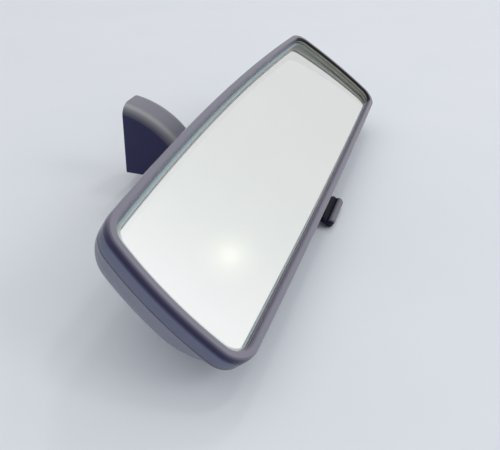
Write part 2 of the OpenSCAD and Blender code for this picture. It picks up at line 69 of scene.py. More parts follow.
def grain(tree, size_mm, detail=3.0, stretch=(1, 1, 1)):
    """Noise of about the given size that stays with the piece."""
    place = tree.nodes.new("ShaderNodeTexCoord")
    scale = tree.nodes.new("ShaderNodeMapping")
    scale.inputs["Scale"].default_value = [1000 / size_mm * s for s in stretch]
    noise = tree.nodes.new("ShaderNodeTexNoise")
    noise.inputs["Scale"].default_value = 1.0
    noise.inputs["Detail"].default_value = detail
    tree.links.new(place.outputs["Object"], scale.inputs["Vector"])
    tree.links.new(scale.outputs["Vector"], noise.inputs["Vector"])
    return noise.outputs["Fac"]


def tone_ramp(tree, value, tones):
    """Colours along a value from 0 to 1, given in rising order as (place, colour)."""
    ramp = tree.nodes.new("ShaderNodeValToRGB")
    stops = ramp.color_ramp.elements
    while len(stops) < len(tones):
        stops.new(0.5)
    for stop, (at, tone) in zip(stops, tones):
        stop.position = at
        stop.color = (*tone, 1)
    tree.links.new(value, ramp.inputs["Fac"])
    return ramp.outputs["Color"]


def vary(tree, shader, socket, value, low, high):
    """Lets a colour or a plain number wander between two values with a noise."""
    low, high = (tone if hasattr(tone, "__len__") else (tone, tone, tone) for tone in (low, high))
    wander = tone_ramp(tree, value, ((NOISE_LOW, low), (NOISE_HIGH, high)))
    tree.links.new(wander, shader.inputs[socket])


def pebble(tree, shader, value, height_mm):
    """Raises the surface a little with a noise."""
    bump = tree.nodes.new("ShaderNodeBump")
    bump.inputs["Strength"].default_value = 1.0
    bump.inputs["Distance"].default_value = height_mm / 1000
    tree.links.new(value, bump.inputs["Height"])
    tree.links.new(bump.outputs["Normal"], shader.inputs["Normal"])


def dress(finish, *names):
    """Gives CAD nodes a material."""
    for name in names:
        nodes[name].material_slots[0].material = finish


zinc, tree, shader = paint("cast_zinc", (0.42, 0.42, 0.43), 0.5, 1.0)
vary(tree, shader, "Base Color", grain(tree, 6), (0.34, 0.34, 0.35), (0.5, 0.5, 0.51))
vary(tree, shader, "Roughness", grain(tree, 1.2), 0.42, 0.62)
pebble(tree, shader, grain(tree, 0.5), 0.02)
dress(zinc, "arm_core")


# Stud, pins, screws, leaf spring and retaining rings: turned and plated steel, bright spring steel, and
# blacked screws in the stem. The stud's shank is pressed into the core, the spring lies in a pocket of
# the slot's floor, and the pins and the bright screws hold the toggle and the backing plate.
TURNED, ROLLED = (1, 1, 8), (8, 1, 1)
steel, tree, shader = paint("plated_steel", (0.6, 0.61, 0.63), 0.28, 1.0)
vary(tree, shader, "Base Color", grain(tree, 4), (0.52, 0.53, 0.55), (0.66, 0.67, 0.69))
vary(tree, shader, "Roughness", grain(tree, 0.35, stretch=TURNED), 0.2, 0.36)
pebble(tree, shader, grain(tree, 0.25, stretch=TURNED), 0.004)
strip, tree, shader = paint("spring_strip", (0.55, 0.56, 0.59), 0.22, 1.0)
vary(tree, shader, "Roughness", grain(tree, 0.3, stretch=ROLLED), 0.16, 0.3)
blacked, tree, shader = paint("blacked_steel", (0.03, 0.03, 0.033), 0.4, 0.6)
vary(tree, shader, "Base Color", grain(tree, 0.8), (0.02, 0.02, 0.022), (0.06, 0.06, 0.062))
dress(steel, "ball_stud", "socket_screws", "plate_screws", "pivot_pin", "lever_pin")
dress(strip, "foot_spring", "pin_rings")
dress(blacked, "stem_screws")


# Stem shell: the moulded fin that covers the arm core, dark grey plastic with a soft gloss. Its colour is
# painted
# by facing: navy painted shade on the sides, a painted highlight along the rounded edge and a lilac-grey
# painted reflection on the top band. It slides over the core from the ball end and two screws hold it from its
# lower edge.
SCREEN_RAKE = math.radians(31.3)
GLASS_SLOPE = math.radians(36.2)
FOOT_Y, FOOT_Z = 55.88514, 62.84171
FOOT_L, FIN_W, FIN_T, CORE_L = 41.4, 18.5, 2.2, 27.0
REAR_R, TIP_R, EDGE_R = 44.5, 6.0, 6.0
FRONT_SHARE = 0.35  # the front edge is rounded by this share of the rear one
BALL_REACH, BALL_OFFSET = 71.6, 3.2
NECK_L, NECK_LEAN, NECK_R, NECK_SPARE = 37.8, math.radians(10.8), 4.0, 1.0
OVER = 4.0  # drawn past the foot face, to be cut off there
REAR_STEPS, TIP_STEPS, EDGE_STEPS = 36, 22, 11
FIT, SLIP = 0.1, 0.15
CUT_REACH, CUT_DEPTH = 60, 30
MERGE_M, SLIVER_M = 1e-6, 2e-6


def bench(points):
    """From millimetres with the glass upright to metres in the frame of the mirror on its bench."""
    p = np.asarray(points, float).reshape(-1, 3) - (0, FOOT_Y, FOOT_Z)
    turn = GLASS_SLOPE - math.pi / 2
    c, s = math.cos(turn), math.sin(turn)
    return np.stack([p[:, 0], c * p[:, 1] - s * p[:, 2], s * p[:, 1] + c * p[:, 2]], 1) / 1000


def from_foot(points):
    """From the foot's directions (across, along the windscreen, out of the face) to upright millimetres."""
    p = np.asarray(points, float).reshape(-1, 3)
    c, s = math.cos(SCREEN_RAKE), math.sin(SCREEN_RAKE)
    y = FOOT_Y + c * p[:, 1] + s * p[:, 2]
    z = FOOT_Z - s * p[:, 1] + c * p[:, 2]
    return np.stack([p[:, 0], y, z], 1)


def piece(name, points, faces):
    """A new mesh object from points in metres."""
    mesh = bpy.data.meshes.new(name)
    mesh.from_pydata([tuple(p) for p in points], [], faces)
    made = bpy.data.objects.new(name, mesh)
    bpy.context.scene.collection.objects.link(made)
    return made


def upright(name, shape):
    """A new mesh object from the points, in upright millimetres, and faces of a shape."""
    points, faces = shape
    return piece(name, bench(points), faces)


def skin(rings, closed=False):
    """Faces through rings of equal length, capped at both ends unless the rings close on themselves."""
    n, k = len(rings[0]), len(rings)
    faces = []
    for a in range(k if closed else k - 1):
        b = (a + 1) % k
        for i in range(n):
            j = (i + 1) % n
            faces.append((a * n + i, a * n + j, b * n + j, b * n + i))
    if not closed:
        faces += [tuple(range(n))[::-1], tuple(range((k - 1) * n, k * n))]
    return np.vstack(rings), faces


def at_x(x, flat):
    """An outline of two coordinates, set x millimetres from the middle of the mirror."""
    flat = np.asarray(flat, float)
    return np.stack([np.full(len(flat), x), flat[:, 0], flat[:, 1]], 1)


def slab(outline_yz, half_w):
    """A bar across the mirror from an outline of (y, z) points in upright millimetres."""
    return skin([at_x(x, outline_yz) for x in (-half_w, half_w)])


def foot_slab(outline_vn, half_w):
    """A bar across the fin from an outline in the foot's (along, out) directions."""
    return skin([from_foot(at_x(x, outline_vn)) for x in (-half_w, half_w)])


def rod(a, b, r, sides=48):
    """A round cutter or bar between two points in upright millimetres."""
    a, b = np.array(a, float), np.array(b, float)
    axis = (b - a) / np.linalg.norm(b - a)
    side = np.cross(axis, (0, 0, 1) if abs(axis[2]) < 0.9 else (1, 0, 0))
    side /= np.linalg.norm(side)
    other = np.cross(axis, side)
    turn = np.linspace(0, 2 * math.pi, sides, endpoint=False)
    rim = r * (np.cos(turn)[:, None] * side + np.sin(turn)[:, None] * other)
    return skin([a + rim, b + rim])


def foot_rod(a, b, r):
    """A round cutter between two points in the foot's directions."""
    return rod(from_foot([a])[0], from_foot([b])[0], r)


def tidy_mesh(made):
    """Merges points that coincide and turns every face outwards."""
    bpy.context.view_layer.objects.active = made
    for other in bpy.context.selected_objects:
        other.select_set(False)
    made.select_set(True)
    bpy.ops.object.mode_set(mode="EDIT")
    bpy.ops.mesh.select_all(action="SELECT")
    bpy.ops.mesh.remove_doubles(threshold=MERGE_M)
    bpy.ops.mesh.normals_make_consistent(inside=False)
    bpy.ops.object.mode_set(mode="OBJECT")


def apply_modifier(made, modifier):
    bpy.context.view_layer.objects.active = made
    bpy.ops.object.modifier_apply(modifier=modifier.name)


def cut(made, cutters):
    """Takes the cutters away from a piece, one after the other."""
    for tool in cutters:
        tidy_mesh(tool)
        step = made.modifiers.new("cut", "BOOLEAN")
        step.operation = "DIFFERENCE"
        step.solver = "EXACT"
        step.object = tool
        apply_modifier(made, step)
        bpy.data.objects.remove(tool)


def smooth(made, angle=32, edge_mm=0.0):
    """Rounds the edges that are left sharp, drops slivers and shades the rest smooth."""
    if edge_mm:
        step = made.modifiers.new("edges", "BEVEL")
        step.width = edge_mm / 1000
        step.segments = 2
        step.limit_method = "ANGLE"
        step.angle_limit = math.radians(angle)
        apply_modifier(made, step)
        bpy.ops.object.mode_set(mode="EDIT")
        bpy.ops.mesh.select_all(action="SELECT")
        bpy.ops.mesh.dissolve_degenerate(threshold=SLIVER_M)
        bpy.ops.object.mode_set(mode="OBJECT")
    made.data.shade_smooth()
    made.data.set_sharp_from_angle(angle=math.radians(angle))
    step = made.modifiers.new("normals", "WEIGHTED_NORMAL")
    step.keep_sharp = True
    step.weight = 80
    apply_modifier(made, step)


def meet(c1, r1, c2, r2, side):
    """The point r1 from c1 and r2 from c2, on the given side of the line between them."""
    d = c2 - c1
    gap = np.linalg.norm(d)
    a = (r1 * r1 - r2 * r2 + gap * gap) / (2 * gap)
    return c1 + (a * d + side * math.sqrt(r1 * r1 - a * a) * np.array([-d[1], d[0]])) / gap


def on_circle(angle):
    return np.array([math.cos(angle), math.sin(angle)])


ball_in_foot = np.array([BALL_OFFSET, -BALL_REACH])
neck_way = np.array([math.sin(NECK_LEAN), math.cos(NECK_LEAN)])
tip_centre = ball_in_foot + NECK_L * neck_way
foot_corner = np.array([FOOT_L / 2, 0.0])
rear_centre = meet(tip_centre, REAR_R - TIP_R, -foot_corner, REAR_R, -1)
way = tip_centre - rear_centre
rear_turn = math.atan2(way[1], way[0]) + 2 * math.pi
way = foot_corner - tip_centre
front_turn = math.atan2(way[1], way[0]) - math.acos(TIP_R / np.linalg.norm(way)) + 2 * math.pi


def fin_outline(inset, even=False):
    """Side outline of the fin in the foot's (along, out) directions, drawn in by inset."""
    front = on_circle(front_turn)
    up = np.array([-front[1], front[0]])
    back_r = REAR_R - inset
    start = math.pi - math.asin((OVER - rear_centre[1]) / back_r)
    rear_angles = np.linspace(start, rear_turn, REAR_STEPS, endpoint=False)
    rows = [rear_centre + back_r * on_circle(a) for a in rear_angles]
    lowest = 1.5 * math.pi
    for a in np.linspace(rear_turn, front_turn, TIP_STEPS):
        late = max(0.0, (a - lowest) / (front_turn - lowest))
        share = 1.0 if even else 1 - (1 - FRONT_SHARE) * late
        rows.append(tip_centre + (TIP_R - inset * share) * on_circle(a))
    rows.append(foot_corner - inset * (1.0 if even else FRONT_SHARE) * front + up * OVER / up[1])
    return np.array(rows)


slices = []
for t in np.radians(np.linspace(0, 90, EDGE_STEPS)):
    slices.append((-(FIN_W / 2 - EDGE_R * (1 - math.cos(t))), EDGE_R * (1 - math.sin(t))))
slices += [(-x, inset) for x, inset in slices[::-1]]
fin = upright("stem_fin", skin([from_foot(at_x(x, fin_outline(inset))) for x, inset in slices]))
tidy_mesh(fin)
hollow = []
loop = fin_outline(FIN_T, even=True)
for here, there in zip(loop, np.roll(loop, -1, axis=0)):
    if here[1] >= -CORE_L:
        hollow.append(here)
    if (here[1] + CORE_L) * (there[1] + CORE_L) < 0:
        hollow.append(here + (there - here) * (here[1] + CORE_L) / (here[1] - there[1]))
neck_from = np.array([0, *ball_in_foot])
neck_bore_l = (BALL_REACH - CORE_L) / math.cos(NECK_LEAN) + NECK_SPARE
neck_to = neck_from + neck_bore_l * np.array([0, *neck_way])
neck_bore = upright("neck_bore", foot_rod(neck_from, neck_to, NECK_R + FIT))
past_foot = [(-CUT_REACH, 0), (CUT_REACH, 0), (CUT_REACH, CUT_DEPTH), (-CUT_REACH, CUT_DEPTH)]
cutters = [
    upright("foot_plane", foot_slab(past_foot, CUT_DEPTH)),
    upright("core_room", foot_slab(hollow, FIN_W / 2 - FIN_T)),
    neck_bore,
]
MOUTH_HALF, FLOOR_HALF, SLOT_D, SLOT_FROM, SLOT_TO = 4.3, 5.5, 5.3, 6.0, 40.0
slot_ring = [
    (-MOUTH_HALF, OVER), (MOUTH_HALF, OVER), (MOUTH_HALF, 0.0),
    (FLOOR_HALF, -SLOT_D), (-FLOOR_HALF, -SLOT_D), (-MOUTH_HALF, 0.0),
]
slot_ends = [from_foot([(x, v, n) for x, n in slot_ring]) for v in (SLOT_FROM, SLOT_TO)]
cutters.append(upright("button_way", skin(slot_ends)))
SCREW_R, SCREW_HEAD_R, SCREW_DEPTHS = 1.4, 2.6, (-10.0, -17.0)
SEAT_SHARE, SEAT_SUNK, SINK_L, WAY_HALF_L = 0.4, 0.8, 8.8, 8
for n in SCREW_DEPTHS:
    v = tip_centre[0] + (TIP_R - (n - tip_centre[1]) * math.sin(front_turn)) / math.cos(front_turn)
    seat = v - SCREW_HEAD_R * SEAT_SHARE - SEAT_SUNK
    sink = foot_rod((0, seat, n), (0, seat + SINK_L, n), SCREW_HEAD_R + SLIP)
    cutters.append(upright("screw_sink", sink))
    screw_way = foot_rod((0, seat - WAY_HALF_L, n), (0, seat + WAY_HALF_L, n), SCREW_R + SLIP)
    cutters.append(upright("screw_way", screw_way))
cut(fin, cutters)
smooth(fin, 35, 0.25)

FACING_LOW, FACING_HIGH = -1.0, 1.01
PATCH_MM, PATCH_SHARE, SHEEN_MM, FINE_DETAIL = 9, 0.008, 3.5, 5
SKIN_MM, SKIN_DETAIL, SKIN_HEIGHT_MM = 0.3, 2, 0.002
# Where the far painted tones go: the bezel's far end, on faces that look inward.
FAR_END_FROM, FAR_END_TO = 0.088, 0.108
INWARD_FROM, INWARD_TO = -0.1, -0.3


def dot(tree, vector, way):
    """How far a vector points along a fixed one."""
    product = tree.nodes.new("ShaderNodeVectorMath")
    product.operation = "DOT_PRODUCT"
    product.inputs[1].default_value = way
    tree.links.new(vector, product.inputs[0])
    return product.outputs["Value"]


def spread(tree, value, low, high):
    """Stretches a value so that low becomes 0 and high becomes 1."""
    level = tree.nodes.new("ShaderNodeMapRange")
    level.inputs["From Min"].default_value = low
    level.inputs["From Max"].default_value = high
    tree.links.new(value, level.inputs["Value"])
    return level.outputs["Result"]


def x_part(tree, vector):
    parts = tree.nodes.new("ShaderNodeSeparateXYZ")
    tree.links.new(vector, parts.inputs["Vector"])
    return parts.outputs["X"]


def moulding_with_painted_light(name, toward, tones, roughness, gloss=0.5, far_painted_tones=None):
    """Moulded plastic with a fine grain and painted light. Its colour is painted by how far a face looks along
    toward, as painted shade, highlights and reflections that stand in for the light and the room the plastic
    mirrors. The far painted tones paint the reflections and shade on the inner slope at the far end."""
    finish, tree, shader = paint(name, tones[0][1], roughness)
    shader.inputs["Specular IOR Level"].default_value = gloss
    place = tree.nodes.new("ShaderNodeTexCoord")
    uneven = tree.nodes.new("ShaderNodeMath")
    uneven.operation = "MULTIPLY_ADD"
    uneven.inputs[1].default_value = PATCH_SHARE
    tree.links.new(grain(tree, PATCH_MM, FINE_DETAIL), uneven.inputs[0])
    tree.links.new(dot(tree, place.outputs["Normal"], toward), uneven.inputs[2])
    facing = spread(tree, uneven.outputs["Value"], FACING_LOW, FACING_HIGH)
    span = FACING_HIGH - FACING_LOW
    toned = [
        tone_ramp(tree, facing, [((at + FACING_HIGH) / span, tone) for at, tone in wanted])
        for wanted in filter(None, (tones, far_painted_tones))
    ]
    # On the far end's inward faces the far painted tones take over: painted reflections and a black painted
    # shade line.
    if far_painted_tones:
        far_end = spread(tree, x_part(tree, place.outputs["Object"]), FAR_END_FROM, FAR_END_TO)
        inward = spread(tree, x_part(tree, place.outputs["Normal"]), INWARD_FROM, INWARD_TO)
        both = tree.nodes.new("ShaderNodeMath")
        both.operation = "MULTIPLY"
        tree.links.new(far_end, both.inputs[0])
        tree.links.new(inward, both.inputs[1])
        blend = tree.nodes.new("ShaderNodeMixRGB")
        tree.links.new(both.outputs["Value"], blend.inputs["Fac"])
        tree.links.new(toned[0], blend.inputs["Color1"])
        tree.links.new(toned[1], blend.inputs["Color2"])
        toned = [blend.outputs["Color"]]
    tree.links.new(toned[0], shader.inputs["Base Color"])
    sheen = grain(tree, SHEEN_MM, FINE_DETAIL)
    vary(tree, shader, "Roughness", sheen, roughness - 0.04, roughness + 0.05)
    pebble(tree, shader, grain(tree, SKIN_MM, SKIN_DETAIL), SKIN_HEIGHT_MM)
    return finish


# The way towards the light, which sets the painted shade and highlights of the mouldings.
LIGHT_WAY = (0.5, -0.45, 0.74)
# Painted light on the fin: navy painted shade on faces turned from the light, a painted highlight stop along
# the rounded edge, a lilac-grey painted reflection on the top band.
stem_plastic = moulding_with_painted_light("stem_moulding", LIGHT_WAY, (
    (-0.475, (0.0165, 0.0175, 0.08)), (-0.42, (0.045, 0.046, 0.092)), (-0.33, (0.085, 0.085, 0.125)),
    (-0.16, (0.13, 0.13, 0.165)), (0.0, (0.19, 0.19, 0.225)), (0.18, (0.26, 0.26, 0.29)),
    (0.265, (0.32, 0.32, 0.34)), (0.354, (0.39, 0.39, 0.41)), (0.48, (0.37, 0.37, 0.39)),
    (0.61, (0.275, 0.275, 0.305)), (0.72, (0.235, 0.235, 0.275)), (0.86, (0.215, 0.215, 0.26)),
), 0.4, 0.3)
fin.data.materials.append(stem_plastic)
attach(fin, "stem")
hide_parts("stem_shell")


# Liner, pressure ring, toggle bracket and socket cap: the ball joint inside the case, and with them the
# backing plate. The liner is natural acetal and the rest are black unfinished mouldings, screwed together.
acetal, tree, shader = paint("natural_acetal", (0.75, 0.72, 0.64), 0.45)
vary(tree, shader, "Base Color", grain(tree, 5), (0.7, 0.67, 0.58), (0.78, 0.76, 0.69))
pebble(tree, shader, grain(tree, 0.4), 0.004)
dress(acetal, "ball_liner")
# Faint painted light: the black is painted a touch lighter on faces that look towards the light.
black_tones = ((0.0, (0.016, 0.016, 0.018)), (0.8, (0.026, 0.026, 0.028)))
inner_black = moulding_with_painted_light("inner_moulding", LIGHT_WAY, black_tones, 0.5)
dress(inner_black, "pressure_ring", "toggle_bracket", "socket_cap", "backing_plate")


# Bedding of the glass: a thin bed of black rubbery adhesive.
# It is spread on the backing plate, and the glass is pressed into it.
bedding, tree, shader = paint("glass_bedding", (0.03, 0.03, 0.032), 0.8)
vary(tree, shader, "Base Color", grain(tree, 1.5), (0.022, 0.022, 0.024), (0.04, 0.04, 0.043))
dress(bedding, "glass_bond")


# Wedge glass: clear float glass ground to a wedge, with its back silvered and its edges ground. The ground
# arris along the front is coloured by the way each edge faces: partly the ground glass's own pale green-grey,
# partly painted reflection and shade, grey at the bottom, pale at the near end, teal at the top and olive at
# the far end.
# It lies on the bedding under the bezel's lip; the wedge is what dims the view at night.
VIEW_W, VIEW_TOP, VIEW_BOTTOM, SIDE_LEAN = 226.2, 34.3, 29.7, math.radians(6.9)
TOP_R, BOTTOM_R, SIDE_R, CORNER_TOP_R, CORNER_BOTTOM_R = 1350.0, 6800.0, 160.0, 8.0, 7.0
UPPER_GROWTH, LOWER_GROWTH, END_DRAFT = 6.0, 18.0, 0.7
ARC_STEPS = (40, 14, 26, 14, 40)
GLASS_TOP_T, GLASS_BOTTOM_T, GLASS_LAP, LIP_T = 5.9, 2.2, 1.2, 0.7
MID_Z = (VIEW_TOP - VIEW_BOTTOM) / 2


def heading(v):
    return math.atan2(v[1], v[0])


def outline(off, k=0.0):
    """The mirror's front outline as tangent arcs, off outwards, with corners grown by the share k."""
    rt, rb = CORNER_TOP_R + UPPER_GROWTH * k, CORNER_BOTTOM_R + LOWER_GROWTH * k
    top_c, bottom_c = np.array([0, VIEW_TOP - TOP_R]), np.array([0, BOTTOM_R - VIEW_BOTTOM])
    side_c = np.array([VIEW_W / 2 - END_DRAFT * k, 0]) - SIDE_R * on_circle(SIDE_LEAN)
    upper_c = meet(top_c, TOP_R - rt, side_c, SIDE_R - rt, -1)
    lower_c = meet(bottom_c, BOTTOM_R - rb, side_c, SIDE_R - rb, 1)
    arcs = [
        (top_c, TOP_R, math.pi / 2, heading(upper_c - top_c)),
        (upper_c, rt, heading(upper_c - top_c), heading(upper_c - side_c)),
        (side_c, SIDE_R, heading(upper_c - side_c), heading(lower_c - side_c)),
        (lower_c, rb, heading(lower_c - side_c), heading(lower_c - bottom_c)),
        (bottom_c, BOTTOM_R, heading(lower_c - bottom_c), -math.pi / 2),
    ]
    right = []
    for (centre, r, a, b), count in zip(arcs, ARC_STEPS):
        for t in np.linspace(a, b, count, endpoint=False):
            right.append(centre + (r + off) * on_circle(t))
    right = np.array(right)
    left = right[:0:-1] * (-1, 1)
    return np.vstack([right, [[0, -VIEW_BOTTOM - off]], left])


def ring(off, y, lean=0.0, k=0.0, rise=0.0, shrink=1.0):
    """The outline at depth y, leaning back upwards, with its lower edge raised, or drawn in to the middle."""
    flat = outline(off, k)
    z = VIEW_TOP - (VIEW_TOP - flat[:, 1]) * (1 - rise / (VIEW_TOP + VIEW_BOTTOM))
    return np.stack([flat[:, 0] * shrink, y + z * lean, MID_Z + (z - MID_Z) * shrink], 1)


WEDGE = (GLASS_TOP_T - GLASS_BOTTOM_T) / (VIEW_TOP + VIEW_BOTTOM + 2 * GLASS_LAP)
GLASS_BACK = LIP_T + GLASS_BOTTOM_T + (VIEW_BOTTOM + GLASS_LAP) * WEDGE
ARRIS_W, ARRIS_D, BREAK_OFF, BREAK_D = 1.5, 0.5, 0.2, 0.3
LOW_NARROWER, LOW_FROM, LOW_OVER = 0.9, 22, 5  # the arris is narrower along the lower edge
flat_edge = ring(-ARRIS_W, LIP_T)
flat_edge[:, 2] -= LOW_NARROWER * np.clip((-flat_edge[:, 2] - LOW_FROM) / LOW_OVER, 0, 1)
glass = upright("wedge_glass", skin([
    flat_edge, ring(BREAK_OFF, LIP_T + BREAK_D), ring(GLASS_LAP, LIP_T + ARRIS_D),
    ring(GLASS_LAP, GLASS_BACK, WEDGE),
]))
tidy_mesh(glass)
glass.data.set_sharp_from_angle(angle=math.radians(5))
GLASS_IOR = 1.52


def glassy(name, colour, roughness, through):
    """Glass that lets the given share of the light through."""
    finish, tree, shader = paint(name, colour, roughness)
    shader.inputs["IOR"].default_value = GLASS_IOR
    shader.inputs["Transmission Weight"].default_value = through
    return finish, tree, shader


clear, tree, shader = glassy("clear_glass", (0.985, 1.0, 0.995), 0.0, 1.0)
vary(tree, shader, "Roughness", grain(tree, 40, 2), 0.0, 0.012)
ground, tree, shader = glassy("ground_glass_edge", (0.8, 0.83, 0.78), 0.45, 0.15)
vary(tree, shader, "Base Color", grain(tree, 2.0), (0.72, 0.75, 0.69), (0.86, 0.88, 0.83))
arris, tree, shader = glassy("ground_arris", (0.6, 0.72, 0.72), 0.35, 0.35)
# The arris colour is set by the way each edge faces: the ground glass's own pale green-grey with painted
# reflections and shade.
UP_SLOPE, SLOPE_REACH = (1.6, 2.15, 1.57), 0.52
place = tree.nodes.new("ShaderNodeTexCoord")
slope = spread(tree, dot(tree, place.outputs["Normal"], UP_SLOPE), -SLOPE_REACH, SLOPE_REACH)
arris_painted_reflection = tone_ramp(tree, slope, (
    (0.06, (0.6, 0.62, 0.65)), (0.23, (0.8, 0.82, 0.82)), (0.66, (0.5, 0.6, 0.6)),
    (0.77, (0.5, 0.5, 0.4)), (0.9, (0.46, 0.61, 0.64)),
))
tree.links.new(arris_painted_reflection, shader.inputs["Base Color"])
silver, tree, shader = paint("silvered_back", (0.92, 0.93, 0.92), 0.0, 1.0)
vary(tree, shader, "Base Color", grain(tree, 60, 2), (0.93, 0.94, 0.935), (0.96, 0.965, 0.96))
for finish in (clear, ground, silver, arris):
    glass.data.materials.append(finish)
CLEAR, GROUND, SILVER, ARRIS = range(4)
GLASS_OUT = (0.0, -math.sin(GLASS_SLOPE), math.cos(GLASS_SLOPE))
for face in glass.data.polygons:
    facing = face.normal.dot(Vector(GLASS_OUT))
    if facing > 0.999:
        face.material_index = CLEAR
    elif facing > 0.5:
        face.material_index = ARRIS
    else:
        face.material_index = SILVER if facing < -0.5 else GROUND
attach(glass, "head")
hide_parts("prism_glass")


# Front bezel: one moulded frame with a sloping inner face, a round crest and a skirt behind it.
# It clips over the case's spigot and its lip holds the glass down; dark grey plastic with a soft gloss.
# Its colour is painted by facing: a lilac-grey painted highlight on the crest, a navy painted shade band below
# it and a blue-grey painted reflection on the outer wall; on the far end's inner slope, painted olive
# reflections and a black line.
BEAD_W, BEAD_H, SKIRT_OUT, SKIRT_T, PART_Y, PART_GAP = 4.2, 2.4, 4.0, 1.4, 7.0, 0.3
LIP_W, CREST_IN, CREST_OUT, WIDEST_Y, CASE_OFF = 0.4, 1.8, 3.1, 1.6, 3.88
BEAD_STEPS = 18
profile = [(0.0, LIP_T), (0.0, 0.3), (0.05, 0.1), (0.16, -0.05), (0.3, -0.1), (LIP_W, -0.1)]
profile += [
    (LIP_W + (CREST_IN - LIP_W) * (1 - math.cos(a)), -BEAD_H * math.sin(a))
    for a in np.radians(np.linspace(5, 90, BEAD_STEPS))
]
profile += [
    (CREST_OUT + (BEAD_W - CREST_OUT) * math.sin(a), -BEAD_H + (BEAD_H + WIDEST_Y) * (1 - math.cos(a)))
    for a in np.radians(np.linspace(0, 90, BEAD_STEPS))
]
profile += [(BEAD_W - 0.16, PART_Y - 2.6), (CASE_OFF + 0.02, PART_Y - 0.3)]
profile += [(CASE_OFF - 0.06, PART_Y - 0.08), (CASE_OFF - 0.25, PART_Y)]
skirt_in = SKIRT_OUT - SKIRT_T
profile += [(skirt_in, PART_Y), (skirt_in, LIP_T + 0.6), (GLASS_LAP + SLIP, LIP_T)]
bezel = upright("bezel_frame", skin([ring(off, y) for off, y in profile], closed=True))
tidy_mesh(bezel)
smooth(bezel, 40)
# Painted shade and highlights on the bezel, set by the way each face looks; the far painted tones paint the
# far end's inner slope.
bezel_plastic = moulding_with_painted_light("bezel_moulding", (0.35, GLASS_OUT[1], GLASS_OUT[2]), (
    (-0.405, (0.13, 0.145, 0.23)), (-0.32, (0.075, 0.083, 0.155)), (-0.27, (0.034, 0.035, 0.098)),
    (-0.225, (0.012, 0.012, 0.06)), (-0.19, (0.011, 0.01, 0.056)), (-0.155, (0.02, 0.018, 0.07)),
    (-0.105, (0.034, 0.03, 0.086)), (-0.035, (0.046, 0.041, 0.096)), (0.035, (0.076, 0.069, 0.125)),
    (0.142, (0.14, 0.132, 0.185)), (0.55, (0.185, 0.18, 0.23)), (0.9, (0.22, 0.216, 0.266)),
), 0.22, 0.3, far_painted_tones=(
    (-0.3, (0.5, 0.505, 0.45)), (-0.2, (0.42, 0.425, 0.36)), (-0.1, (0.24, 0.245, 0.2)),
    (0.0, (0.05, 0.05, 0.045)), (0.06, (0.003, 0.003, 0.003)),
))
bezel.data.materials.append(bezel_plastic)
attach(bezel, "head")
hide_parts("front_bezel")


# Rear housing: the moulded case behind the glass, dark grey plastic like the bezel, with a painted reflection
# of the
# table: faces turned from the light are painted lighter and bluer. It has a ledge for the backing plate, a
# spigot that the bezel clips over, the round opening for the ball joint, the slot that the dip lever works in
# and room for the lever's hub.
STRAIGHT_L, ROUND_R, CASE_DEPTH, CASE_T, BOTTOM_RISE, OPENING_R = 10.0, 12.5, 25.0, 2.2, 9.0, 18.5
ROUND_END_DEG = 75
ROUND_END = math.radians(ROUND_END_DEG)
STRAIGHT_GROWTH = 0.4  # share of the corners' growth at the end of the straight wall
BOND_T, PLATE_T, LEDGE_T = 0.8, 2.0, 1.6
SPIGOT_IN, SPIGOT_OUT, SPIGOT_Y = 1.35, 2.45, LIP_T + 1.2
LEDGE_Y = GLASS_BACK + BOND_T + PLATE_T + SLIP


def wall_y(t, a):
    return STRAIGHT_L + (ROUND_R - t) * math.sin(a)


def wall_off(t, a):
    return CASE_OFF - t - (ROUND_R - t) * (1 - math.cos(a))


def rise_at(y):
    return BOTTOM_RISE * max(0.0, y - STRAIGHT_L) / (CASE_DEPTH - STRAIGHT_L)


def wall_ring(t, a):
    """The rounded wall at t inside its outer face, a round the turn."""
    y = wall_y(t, a)
    growth = STRAIGHT_GROWTH + (1 - STRAIGHT_GROWTH) * a / ROUND_END
    return ring(wall_off(t, a), y, k=growth, rise=rise_at(y))


def dome_ring(t, s):
    """The crowned back at t inside its outer face, shrunk to the share s."""
    y, top = wall_y(t, ROUND_END), CASE_DEPTH - t
    depth = y + (top - y) * (1 - s * s)
    return ring(wall_off(t, ROUND_END), depth, k=1.0, rise=rise_at(y), shrink=s)


case_y = PART_Y + PART_GAP
rings = [dome_ring(CASE_T, s) for s in (0.12, 0.3, 0.5, 0.7, 0.86)]
rings += [wall_ring(CASE_T, math.radians(a)) for a in (ROUND_END_DEG, 60, 45, 32)]
rings += [ring(0, LEDGE_Y + LEDGE_T, WEDGE), ring(0, LEDGE_Y, WEDGE)]
rings += [ring(SPIGOT_IN, LEDGE_Y, WEDGE), ring(SPIGOT_IN, SPIGOT_Y)]
rings += [ring(SPIGOT_OUT, SPIGOT_Y), ring(SPIGOT_OUT, case_y)]
rings += [ring(CASE_OFF - 0.25, case_y), ring(CASE_OFF - 0.07, case_y + 0.07)]
rings += [ring(CASE_OFF, case_y + 0.25)]
for share in np.linspace(0.25, 0.9, 4):
    y = case_y + (STRAIGHT_L - case_y) * share
    rings.append(ring(CASE_OFF, y, k=STRAIGHT_GROWTH * share))
rings += [wall_ring(0, math.radians(a)) for a in np.linspace(0, ROUND_END_DEG, 22)]
rings += [dome_ring(0, s) for s in (0.97, 0.93, 0.88, 0.82, 0.75, 0.67, 0.58, 0.48, 0.37, 0.25, 0.12)]
case = upright("rear_case", skin(rings))
tidy_mesh(case)
SLOT_HALF, SLOT_BACK, SLOT_LOW = 7.0, 20.66, -39
HUB_ROOM_HALF, HUB_ROOM_BACK, HUB_ROOM_LOW, SLOT_HIGH = 9.7, 13.8, -29.3, -24.2
slot_front = case_y + 0.3


def lever_room(back, low):
    return [(slot_front, low), (back, low), (back, SLOT_HIGH), (slot_front, SLOT_HIGH)]


